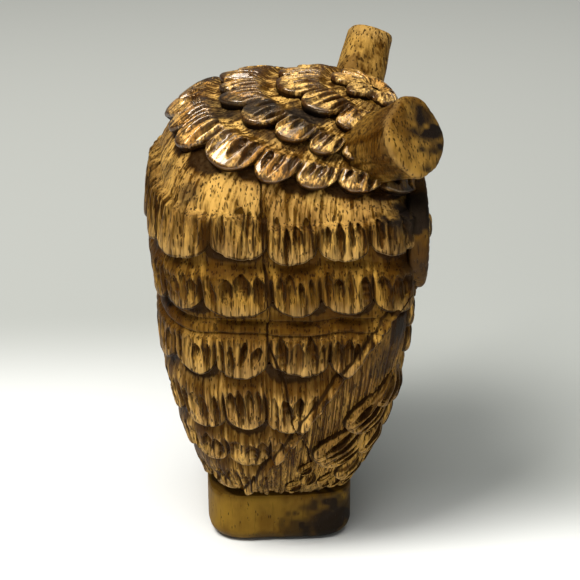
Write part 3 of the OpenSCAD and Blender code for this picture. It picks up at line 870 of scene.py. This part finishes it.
# %% [markdown]
# ## Wood
#
# Blender builds a material from small nodes, and a few short functions make a tree of them easier
# to write and to read. The grain itself is a node group that every wood shares. It gives pores
# from a stretched Voronoi texture, and streaks, fibres and short dashes from stretched noise.
# All of it runs upright, in Object coordinates, so it never slides over a piece and needs no
# unwrapping. On the real carving too, the grain of the trunk stands straight up.

# %% Short ways to make nodes
def new_group(name, inputs, outputs):
    group = bpy.data.node_groups.new(name, "ShaderNodeTree")
    for label, kind, default in inputs:
        socket = group.interface.new_socket(label, in_out="INPUT", socket_type=kind)
        if default is not None:
            socket.default_value = default
    for label, kind in outputs:
        group.interface.new_socket(label, in_out="OUTPUT", socket_type=kind)
    return group, group.nodes.new("NodeGroupInput"), group.nodes.new("NodeGroupOutput")


def node(tree, kind, **settings):
    made = tree.nodes.new(kind)
    for key, value in settings.items():
        setattr(made, key, value)
    return made


def math_node(tree, operation, a, b=None, clamp=False):
    made = node(tree, "ShaderNodeMath", operation=operation, use_clamp=clamp)
    for i, value in enumerate((a, b)):
        if value is None:
            continue
        if isinstance(value, (int, float)):
            made.inputs[i].default_value = value
        else:
            tree.links.new(value, made.inputs[i])
    return made.outputs[0]


def ramp(tree, value, low, high, out_low=0.0, out_high=1.0):
    made = node(tree, "ShaderNodeMapRange", interpolation_type="SMOOTHSTEP")
    tree.links.new(value, made.inputs["Value"])
    made.inputs["From Min"].default_value, made.inputs["From Max"].default_value = low, high
    made.inputs["To Min"].default_value, made.inputs["To Max"].default_value = out_low, out_high
    return made.outputs["Result"]


def mix_colour(tree, factor, a, b, blend="MIX"):
    made = node(tree, "ShaderNodeMix", data_type="RGBA", blend_type=blend)
    if isinstance(factor, (int, float)):
        made.inputs[0].default_value = factor
    else:
        tree.links.new(factor, made.inputs[0])
    for index, value in ((6, a), (7, b)):
        if isinstance(value, tuple):
            made.inputs[index].default_value = value
        else:
            tree.links.new(value, made.inputs[index])
    return made.outputs[2]


def noise(tree, vector, scale, detail=3.0, rough=0.55):
    made = node(tree, "ShaderNodeTexNoise")
    tree.links.new(vector, made.inputs["Vector"])
    made.inputs["Scale"].default_value = scale
    made.inputs["Detail"].default_value = detail
    made.inputs["Roughness"].default_value = rough
    return made.outputs["Fac"]


def stretched(tree, vector, scale):
    made = node(tree, "ShaderNodeVectorMath", operation="MULTIPLY")
    tree.links.new(vector, made.inputs[0])
    made.inputs[1].default_value = scale
    return made.outputs[0]


# %% Shared node group: upright grain
CELLS = 1120              # pores per metre of the pores' texture
BEND = 0.003              # m, how far a pore strays from the straight grain


def grain_group():
    group, inside, outside = new_group(
        "upright_grain",
        [("Coordinates", "NodeSocketVector", None), ("Pore size", "NodeSocketFloat", 0.2)],
        [("Pores", "NodeSocketFloat"), ("Streaks", "NodeSocketFloat"), ("Mottle", "NodeSocketFloat"),
         ("Fibres", "NodeSocketFloat"), ("Dashes", "NodeSocketFloat")])
    at = inside.outputs["Coordinates"]
    cells = node(group, "ShaderNodeTexVoronoi", feature="F1", distance="EUCLIDEAN")
    warp = noise(group, at, 60, 2)
    bent = node(group, "ShaderNodeVectorMath", operation="ADD")
    spread = stretched(group, at, (1, 1, 0.22))
    group.links.new(spread, bent.inputs[0])
    small = node(group, "ShaderNodeVectorMath", operation="SCALE")
    all_ways = node(group, "ShaderNodeCombineXYZ")
    for k in range(3):
        group.links.new(warp, all_ways.inputs[k])
    group.links.new(all_ways.outputs[0], small.inputs[0])
    small.inputs["Scale"].default_value = BEND
    group.links.new(small.outputs[0], bent.inputs[1])
    group.links.new(bent.outputs[0], cells.inputs["Vector"])
    cells.inputs["Scale"].default_value = CELLS
    reach = math_node(group, "SUBTRACT", inside.outputs["Pore size"], cells.outputs["Distance"])
    pores = ramp(group, reach, 0.0, 0.07)
    streaks = noise(group, stretched(group, at, (1, 1, 0.06)), 520, 4, 0.6)
    fibres = noise(group, stretched(group, at, (1, 1, 0.035)), 1900, 2, 0.6)
    mottle = noise(group, stretched(group, at, (1, 1, 0.6)), 70, 4, 0.6)
    dashes = ramp(group, noise(group, stretched(group, at, (1, 1, 0.13)), 1050, 2, 0.5), 0.59, 0.67)
    for label, value in (("Pores", pores), ("Streaks", streaks), ("Mottle", mottle), ("Fibres", fibres),
                         ("Dashes", dashes)):
        group.links.new(value, outside.inputs[label])
    return group


GRAIN = grain_group()
print("grain group:", len(GRAIN.nodes), "nodes")

# %% [markdown]
# ## Stain, painted shade and lacquer
#
# The carver scorches the wood, brushes a dark stain into the cuts, wipes it off the high places
# and lacquers what hands will touch. The material follows that order, from the bare wood to the
# lacquer, and it also paints shade: under each row, in the cuts and the gaps between feathers,
# along the creases and on the walls turned under each edge. Each step mixes one more colour over
# the last, where the notes taken while carving say so, and the grain breaks up every border.
# Plain ambient occlusion could darken the hollows, but it can't tell a gouge cut from the gap
# between two feathers.

# %% The colour of stained wood
AMBER, RED_AMBER, GOLD = (0.60, 0.355, 0.105, 1), (0.50, 0.20, 0.020, 1), (0.74, 0.45, 0.13, 1)
WORN = (0.17, 0.105, 0.038, 1)             # feather tips with the stain rubbed off
# stain and painted shade in the cuts and in the gaps between feathers
IN_CUTS = (0.030, 0.0100, 0.0007, 1)
CROWN_LINE_STAIN_AND_SHADE = (0.030, 0.0085, 0.0008, 1)     # stain and painted shade on the crown's lines look warmer under thick lacquer
# near-black of the scorch marks and of the patches of painted shade
SOOT_AND_SHADE = (0.007, 0.005, 0.004, 1)
CROWN_POLISH = (0.6, 0.9)                  # where the look changes over to the crown's


def attribute(tree, name):
    made = node(tree, "ShaderNodeAttribute", attribute_name=name)
    return made.outputs["Fac"]


def times(tree, a, b, clamp=False):
    return math_node(tree, "MULTIPLY", a, b, clamp)


def bare_colour(tree, grain, note, streaks, light, mid, dark, streaky):
    """Golden and brown patches with darker upright streaks, paler and more golden where rubbed."""
    mottle = grain["Mottle"]
    colour = mix_colour(tree, ramp(tree, mottle, 0.40, 0.64), mid, light)
    colour = mix_colour(tree, ramp(tree, streaks, 0.46, 0.64, 0, streaky), colour, dark)
    pale = times(tree, note["tip"], ramp(tree, streaks, 0.62, 0.45, 0.1, 0.75))
    colour = mix_colour(tree, pale, colour, WORN)
    rubbed = times(tree, note["polish"], ramp(tree, streaks, 0.62, 0.42, 0.0, 0.80))
    amber = mix_colour(tree, ramp(tree, note["polish"], *CROWN_POLISH, 0.15, 0.75), AMBER, RED_AMBER)
    gold = mix_colour(tree, ramp(tree, mottle, 0.40, 0.56), amber, GOLD)
    return mix_colour(tree, rubbed, colour, gold)


def stain_and_shade_colour(tree, grain, note, streaks, colour, dark, stain_and_shade, dashed):
    """Painted shade under the row above, stain and painted shade in the cuts and along the lines, where the
    streaks break it up.
    """
    cut, line = note["cut"], note["line"]
    # painted shade below the row above and in the other hollows that the under note marks
    shade = times(tree, note["under"], ramp(tree, grain["Mottle"], 0.80, 0.25, 0.62, 1.0))
    colour = mix_colour(tree, times(tree, shade, 0.92, clamp=True), colour, dark)
    wavy = times(tree, math_node(tree, "SUBTRACT", streaks, 0.5), 1.1)
    broken = math_node(tree, "ADD", cut, times(tree, wavy, ramp(tree, cut, 0.0, 0.25)))
    # stain and painted shade in the cuts and in the gaps between feathers
    colour = mix_colour(tree, ramp(tree, broken, 0.06, 0.60, 0, 0.94), colour, IN_CUTS)
    # stain and painted shade along the lines: rims, creases and turned-under edges
    stained_and_shaded_lines = math_node(tree, "ADD", line, times(tree, wavy, ramp(tree, line, 0.0, 0.3)))
    line_stain_and_shade = mix_colour(tree, ramp(tree, note["polish"], *CROWN_POLISH), stain_and_shade, CROWN_LINE_STAIN_AND_SHADE)
    colour = mix_colour(tree, ramp(tree, stained_and_shaded_lines, 0.16, 0.66, 0, 0.96), colour, line_stain_and_shade)
    colour = mix_colour(tree, times(tree, grain["Pores"], 0.80), colour, stain_and_shade)
    return mix_colour(tree, times(tree, grain["Dashes"], dashed), colour, stain_and_shade)


def scorched_and_shaded_colour(tree, grain, note, colour, threads):
    """Scorch marks and patches of painted shade, then the light and dark threads of the fibres over
    everything.
    """
    black = times(tree, note["scorch_and_shade"], ramp(tree, grain["Mottle"], 0.25, 0.6, 0.7, 1.08), clamp=True)
    colour = mix_colour(tree, black, colour, SOOT_AND_SHADE)
    thread = node(tree, "ShaderNodeCombineColor")
    for channel in range(3):
        tree.links.new(ramp(tree, grain["Fibres"], 0.34, 0.64, 1.20, 0.62), thread.inputs[channel])
    threaded = ramp(tree, note["barbs"], 0.1, 0.6, 0.15 * threads, threads)
    return mix_colour(tree, threaded, colour, thread.outputs[0], "MULTIPLY")


# %% Lacquer and the raised grain
BUMP_STRENGTH, BUMP_DISTANCE = 0.85, 0.00035       # share, m


def add_lacquer(tree, shader, grain, note, coat):
    """Worn away low down, thick and glossy on the crown."""
    matt = math_node(tree, "SUBTRACT", ramp(tree, grain["Mottle"], 0.2, 0.8, 0.45, 0.65),
                     ramp(tree, note["polish"], *CROWN_POLISH, 0, 0.22))
    tree.links.new(matt, shader.inputs["Roughness"])
    clear = math_node(tree, "SUBTRACT", 1.0, note["line"], clamp=True)
    clear = times(tree, clear, ramp(tree, note["polish"], 0.70, 0.90, 0.0, coat))
    tree.links.new(clear, shader.inputs["Coat Weight"])
    shader.inputs["Coat Roughness"].default_value = 0.14
    tree.links.new(ramp(tree, note["polish"], *CROWN_POLISH, 0.10, 0.60), shader.inputs["Specular IOR Level"])
    shader.inputs["Specular Tint"].default_value = (1.0, 0.62, 0.25, 1)


def add_raised_grain(tree, shader, grain, note, streaks):
    """Sunk pores, and fibres that stand up most on the barbs."""
    fibres_stand = math_node(tree, "ADD", times(tree, note["barbs"], 0.7), 0.15)
    height = math_node(tree, "ADD", times(tree, grain["Pores"], -0.5),
                       times(tree, grain["Fibres"], fibres_stand))
    height = math_node(tree, "ADD", height, times(tree, streaks, 0.35))
    bump = node(tree, "ShaderNodeBump")
    bump.inputs["Strength"].default_value = BUMP_STRENGTH
    bump.inputs["Distance"].default_value = BUMP_DISTANCE
    tree.links.new(height, bump.inputs["Height"])
    tree.links.new(bump.outputs[0], shader.inputs["Normal"])


def wood_material(name, light, mid, dark, stain_and_shade, pore_size=0.30, coat=0.6, streaky=0.85,
                  threads=1.0, dashed=0.80, seed=0.0):
    material = bpy.data.materials.new(name)
    material.use_nodes = True
    tree = material.node_tree
    shader = tree.nodes["Principled BSDF"]
    shift = node(tree, "ShaderNodeVectorMath", operation="ADD")
    tree.links.new(node(tree, "ShaderNodeTexCoord").outputs["Object"], shift.inputs[0])
    shift.inputs[1].default_value = (seed, seed, 0)
    group = node(tree, "ShaderNodeGroup")
    group.node_tree = GRAIN
    tree.links.new(shift.outputs[0], group.inputs["Coordinates"])
    group.inputs["Pore size"].default_value = pore_size
    grain = group.outputs
    note = {key: attribute(tree, key) for key in NOTES + ("scorch_and_shade",)}

    # partly the wood's own streaks, partly the strands that the gouge leaves along a feather, and
    # partly the painted shade that the rows note just under the row above
    streaks = math_node(tree, "ADD", times(tree, grain["Streaks"], 0.60), times(tree, note["streak_and_shade"], 0.40))
    colour = bare_colour(tree, grain, note, streaks, light, mid, dark, streaky)
    colour = stain_and_shade_colour(tree, grain, note, streaks, colour, dark, stain_and_shade, dashed)
    colour = scorched_and_shaded_colour(tree, grain, note, colour, threads)
    tree.links.new(colour, shader.inputs["Base Color"])
    add_lacquer(tree, shader, grain, note, coat)
    add_raised_grain(tree, shader, grain, note, streaks)
    print(f"{name}: {len(tree.nodes)} nodes")
    return material


# %% [markdown]
# ## Which piece is which wood
#
# The carving is one wood throughout, but the base block is plainer than the trunk, the eyes are
# paler and the pupils are burnt nearly black. The dowels are a paler wood, bought ready made.
# One function with other colours and strengths makes all five, so they stay related.

# %% The five woods
materials = {
    "carved_wood": wood_material("carved_wood", (0.235, 0.126, 0.020, 1), (0.060, 0.025, 0.0010, 1),
                                 (0.036, 0.0125, 0.0005, 1), (0.008, 0.0025, 0.0003, 1)),
    "base_wood": wood_material("base_wood", (0.150, 0.082, 0.006, 1), (0.080, 0.038, 0.0020, 1),
                               (0.035, 0.014, 0.001, 1), (0.010, 0.004, 0.001, 1), pore_size=0.18,
                               streaky=0.25, threads=0.35, dashed=0.25, seed=0.3),
    "eye_wood": wood_material("eye_wood", (0.50, 0.30, 0.07, 1), (0.36, 0.18, 0.03, 1),
                              (0.10, 0.04, 0.006, 1), (0.012, 0.006, 0.002, 1), seed=0.6),
    "pupil_wood": wood_material("pupil_wood", (0.02, 0.012, 0.006, 1), (0.01, 0.006, 0.003, 1),
                                (0.006, 0.003, 0.002, 1), (0.003, 0.002, 0.001, 1), coat=0.9, seed=0.9),
    "dowel_wood": wood_material("dowel_wood", (0.62, 0.46, 0.27, 1), (0.5, 0.34, 0.17, 1),
                                (0.25, 0.14, 0.06, 1), (0.05, 0.02, 0.01, 1), coat=0.0, seed=1.2),
}

# %% Hand the pieces to the frame
for obj, cad_node, slot_name in wood_pieces:
    obj.data.materials.append(materials[slot_name])
    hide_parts(cad_node)
    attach(obj, "root")

frame["nodes"]["ear_pegs"].data.materials.clear()
frame["nodes"]["ear_pegs"].data.materials.append(materials["dowel_wood"])
print(f"{len(wood_pieces)} carved pieces in {len(materials)} woods")

# %% [markdown]
# ## Dowels
#
# Two dowels join the base block to the trunk. A bought dowel is fluted so that glue can get past
# it, and its ends are chamfered so that it starts easily. The flutes repeat round it and the
# dowels repeat along a line, so a Geometry Nodes tree makes them from a few named sizes.

# %% A tree of Geometry Nodes for the dowels
def dowel_tree():
    tree = bpy.data.node_groups.new("fluted_dowels", "GeometryNodeTree")
    for label in ("Radius", "Length", "Spacing", "Flute depth", "Chamfer"):
        tree.interface.new_socket(label, in_out="INPUT", socket_type="NodeSocketFloat")
    tree.interface.new_socket("Flutes", in_out="INPUT", socket_type="NodeSocketInt")
    tree.interface.new_socket("First", in_out="INPUT", socket_type="NodeSocketVector")
    tree.interface.new_socket("Geometry", in_out="OUTPUT", socket_type="NodeSocketGeometry")
    sizes = tree.nodes.new("NodeGroupInput").outputs
    rod = node(tree, "GeometryNodeMeshCylinder")
    tree.links.new(times(tree, sizes["Flutes"], 6), rod.inputs["Vertices"])
    rod.inputs["Side Segments"].default_value = 44
    tree.links.new(sizes["Radius"], rod.inputs["Radius"])
    tree.links.new(sizes["Length"], rod.inputs["Depth"])

    # how far each point moves in towards the axis
    place = node(tree, "ShaderNodeSeparateXYZ")
    tree.links.new(node(tree, "GeometryNodeInputPosition").outputs[0], place.inputs[0])
    angle = math_node(tree, "ARCTAN2", place.outputs["Y"], place.outputs["X"])
    wave = math_node(tree, "COSINE", times(tree, angle, sizes["Flutes"]))
    groove = times(tree, math_node(tree, "MAXIMUM", wave, 0.0), sizes["Flute depth"])
    from_end = math_node(tree, "SUBTRACT", times(tree, sizes["Length"], 0.5),
                         math_node(tree, "ABSOLUTE", place.outputs["Z"]))
    chamfer = math_node(tree, "MAXIMUM", math_node(tree, "SUBTRACT", sizes["Chamfer"], from_end), 0.0)
    inward = math_node(tree, "DIVIDE", math_node(tree, "ADD", groove, chamfer), sizes["Radius"])
    flat = node(tree, "ShaderNodeCombineXYZ")
    tree.links.new(place.outputs["X"], flat.inputs["X"])
    tree.links.new(place.outputs["Y"], flat.inputs["Y"])
    move = node(tree, "ShaderNodeVectorMath", operation="SCALE")
    tree.links.new(flat.outputs[0], move.inputs[0])
    tree.links.new(times(tree, inward, -1.0), move.inputs["Scale"])
    cut_rod = node(tree, "GeometryNodeSetPosition")
    tree.links.new(rod.outputs["Mesh"], cut_rod.inputs["Geometry"])
    tree.links.new(move.outputs[0], cut_rod.inputs["Offset"])

    line = node(tree, "GeometryNodeMeshLine")
    line.inputs["Count"].default_value = 2
    apart = node(tree, "ShaderNodeCombineXYZ")
    tree.links.new(sizes["Spacing"], apart.inputs["X"])
    tree.links.new(sizes["First"], line.inputs["Start Location"])
    tree.links.new(apart.outputs[0], line.inputs["Offset"])
    stand = node(tree, "GeometryNodeInstanceOnPoints")
    tree.links.new(line.outputs["Mesh"], stand.inputs["Points"])
    tree.links.new(cut_rod.outputs["Geometry"], stand.inputs["Instance"])
    real = node(tree, "GeometryNodeRealizeInstances")
    tree.links.new(stand.outputs["Instances"], real.inputs["Geometry"])
    paint = node(tree, "GeometryNodeSetMaterial")
    tree.links.new(real.outputs["Geometry"], paint.inputs["Geometry"])
    paint.inputs["Material"].default_value = materials["dowel_wood"]
    tree.links.new(paint.outputs["Geometry"], tree.nodes.new("NodeGroupOutput").inputs["Geometry"])
    return tree


# %% Make the fluted dowels
FLUTES, FLUTE_DEPTH, DOWEL_CHAMFER = 12, 0.35 * MM, 0.8 * MM


def make_dowels():
    low, high = (Vector(c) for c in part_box("base_dowels"))
    across_x = high.x - low.x > high.y - low.y
    radius = min(high.x - low.x, high.y - low.y) / 2
    spacing = max(high.x - low.x, high.y - low.y) - 2 * radius
    values = {"Radius": radius, "Length": high.z - low.z, "Spacing": spacing,
              "Flute depth": FLUTE_DEPTH, "Chamfer": DOWEL_CHAMFER, "Flutes": FLUTES,
              "First": (-spacing / 2, 0.0, 0.0)}
    tree = dowel_tree()
    dowels = bpy.data.objects.new("fluted_dowels", bpy.data.meshes.new("fluted_dowels"))
    bpy.context.collection.objects.link(dowels)
    modifier = dowels.modifiers.new("dowels", "NODES")
    modifier.node_group = tree
    for socket in tree.interface.items_tree:
        if socket.in_out == "INPUT":
            modifier[socket.identifier] = values[socket.name]
    mesh = bpy.data.meshes.new_from_object(dowels.evaluated_get(bpy.context.evaluated_depsgraph_get()))
    dowels.modifiers.clear()
    dowels.data = mesh
    middle = (low + high) / 2
    points = np.empty(len(mesh.vertices) * 3, dtype=np.float32)
    mesh.vertices.foreach_get("co", points)
    points = points.reshape(-1, 3)
    if not across_x:
        points = points[:, (1, 0, 2)] * (-1, 1, 1)
    mesh.vertices.foreach_set("co", (points + np.array(middle)).astype(np.float32).reshape(-1))
    mesh.materials.clear()          # the result carries an empty slot before the one that the tree set
    mesh.materials.append(materials["dowel_wood"])
    mesh.polygons.foreach_set("material_index", [0] * len(mesh.polygons))
    mesh.update()
    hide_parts("base_dowels")
    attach(dowels, "root")
    print("dowels:", len(mesh.polygons), "faces, radius", round(radius / MM, 2), "mm, spacing",
          round(spacing / MM, 2), "mm")


make_dowels()

# %% [markdown]
# ## Floor
#
# The owl stands on a sheet of pale paper, and its colour carries painted light: a bright pool
# nearest the camera and behind the owl, painted shade in front of the owl where its shadow falls,
# and painted dimming further back. The paper is one big flat face, so it has no edge or horizon in
# view. Ramps along its own coordinates choose between two greys, which is easier to steer than a
# light aimed at each part of it.

# %% Lay the floor
PAPER_LIT_POOL, PAPER_IN_SHADE, PAPER_FAR_DIMMED = (0.63, 0.635, 0.62, 1), (0.32, 0.33, 0.31, 1), (0.46, 0.47, 0.44, 1)


def paper_material():
    """Pale paper with a painted pool of light nearest the camera and behind the owl, painted shade in front
    of it and painted dimming further back.
    """
    material = bpy.data.materials.new("floor")
    material.use_nodes = True
    tree = material.node_tree
    shader = tree.nodes["Principled BSDF"]
    shader.inputs["Roughness"].default_value = 0.6
    apart = node(tree, "ShaderNodeSeparateXYZ")
    tree.links.new(node(tree, "ShaderNodeTexCoord").outputs["Object"], apart.inputs[0])
    x, y = apart.outputs["X"], apart.outputs["Y"]
    # painted light: a bright pool nearest the camera and behind the owl; painted shade elsewhere
    beside = times(tree, ramp(tree, x, 0.15, 0.05), ramp(tree, y, -0.03, 0.03))
    bright = math_node(tree, "MAXIMUM", ramp(tree, x, 0.02, -0.05), beside)
    colour = mix_colour(tree, bright, PAPER_IN_SHADE, PAPER_LIT_POOL)
    # painted dimming further from the camera
    colour = mix_colour(tree, ramp(tree, x, 0.02, 0.55), colour, PAPER_FAR_DIMMED)
    tree.links.new(colour, shader.inputs["Base Color"])
    return material


bpy.ops.mesh.primitive_plane_add(size=6, location=(0, 0, 0))
floor = bpy.context.object
floor.name = "floor"
floor.data.materials.append(paper_material())
print("floor:", [round(v, 2) for v in floor.dimensions], "m")

# %% [markdown]
# ## Light
#
# A key light stands high on the owl's right, a little behind it, and makes the short shadow
# beside the base. An overhead panel brings out the crown, and a weak fill opens the cuts.
# Area lights give the soft borders that a window or a lamp with a shade gives. A narrow fourth
# light reaches only the paper. The world is dim, because a bright one would flatten the cuts.

# %% Light the scene
WORLD_COLOUR, WORLD_STRENGTH = (0.90, 0.92, 0.92, 1), 0.15
LIGHTS = [      # name, place and aim in m, size in m, power in W, colour, spread in degrees
    ("key", (-0.30, 0.36, 0.92), (0, 0, 0.08), 0.34, 15, (1.0, 0.98, 0.95), 180),
    ("overhead", (-0.16, -0.05, 1.0), (-0.08, 0.0, 0), 0.7, 8, (1.0, 1.0, 0.98), 180),
    ("fill", (-0.9, -0.3, 0.5), (0, 0, 0.08), 0.8, 1.3, (0.97, 0.98, 1.0), 180),
    ("floor_light", (-0.42, 0.0, 0.60), (-0.36, 0.0, 0.0), 0.25, 3.0, (1, 1, 1), 45)]

world = bpy.data.worlds.new("world")
bpy.context.scene.world = world
world.use_nodes = True
world.node_tree.nodes["Background"].inputs[0].default_value = WORLD_COLOUR
world.node_tree.nodes["Background"].inputs[1].default_value = WORLD_STRENGTH


def area_light(name, place, aim, size, power, colour, spread):
    data = bpy.data.lights.new(name, "AREA")
    data.size = size
    data.energy = power
    data.color = colour
    data.spread = math.radians(spread)
    light = bpy.data.objects.new(name, data)
    bpy.context.collection.objects.link(light)
    light.location = place
    light.rotation_euler = (Vector(aim) - Vector(place)).to_track_quat("-Z", "Y").to_euler()
    print(f"{name}: {power} W, {(Vector(aim) - Vector(place)).length:.2f} m away")


for settings in LIGHTS:
    area_light(*settings)

# %% [markdown]
# ## Camera
#
# The camera looks at the owl's right side from a little above. A long lens keeps the upright
# lines nearly parallel, as they look to someone who holds a small carving at arm's length.
# Angles and a distance from a target are easier to change than a place and a rotation.

# %% Place the camera
AZIMUTH, ELEVATION, DISTANCE = math.radians(-93), math.radians(25), 0.550
TARGET = Vector((0, -0.0038, 0.0771))
LENS, SENSOR_WIDTH = 112, 36               # mm

outward = Vector((math.sin(AZIMUTH) * math.cos(ELEVATION), -math.cos(AZIMUTH) * math.cos(ELEVATION),
                  math.sin(ELEVATION)))
camera_data = bpy.data.cameras.new("camera")
camera_data.lens = LENS
camera_data.sensor_width = SENSOR_WIDTH
camera = bpy.data.objects.new("camera", camera_data)
bpy.context.collection.objects.link(camera)
camera.location = TARGET + outward * DISTANCE
camera.rotation_euler = (-outward).to_track_quat("-Z", "Y").to_euler()
bpy.context.scene.camera = camera
bpy.context.scene.view_settings.view_transform = "Standard"
print("camera at", [round(v, 3) for v in camera.location])
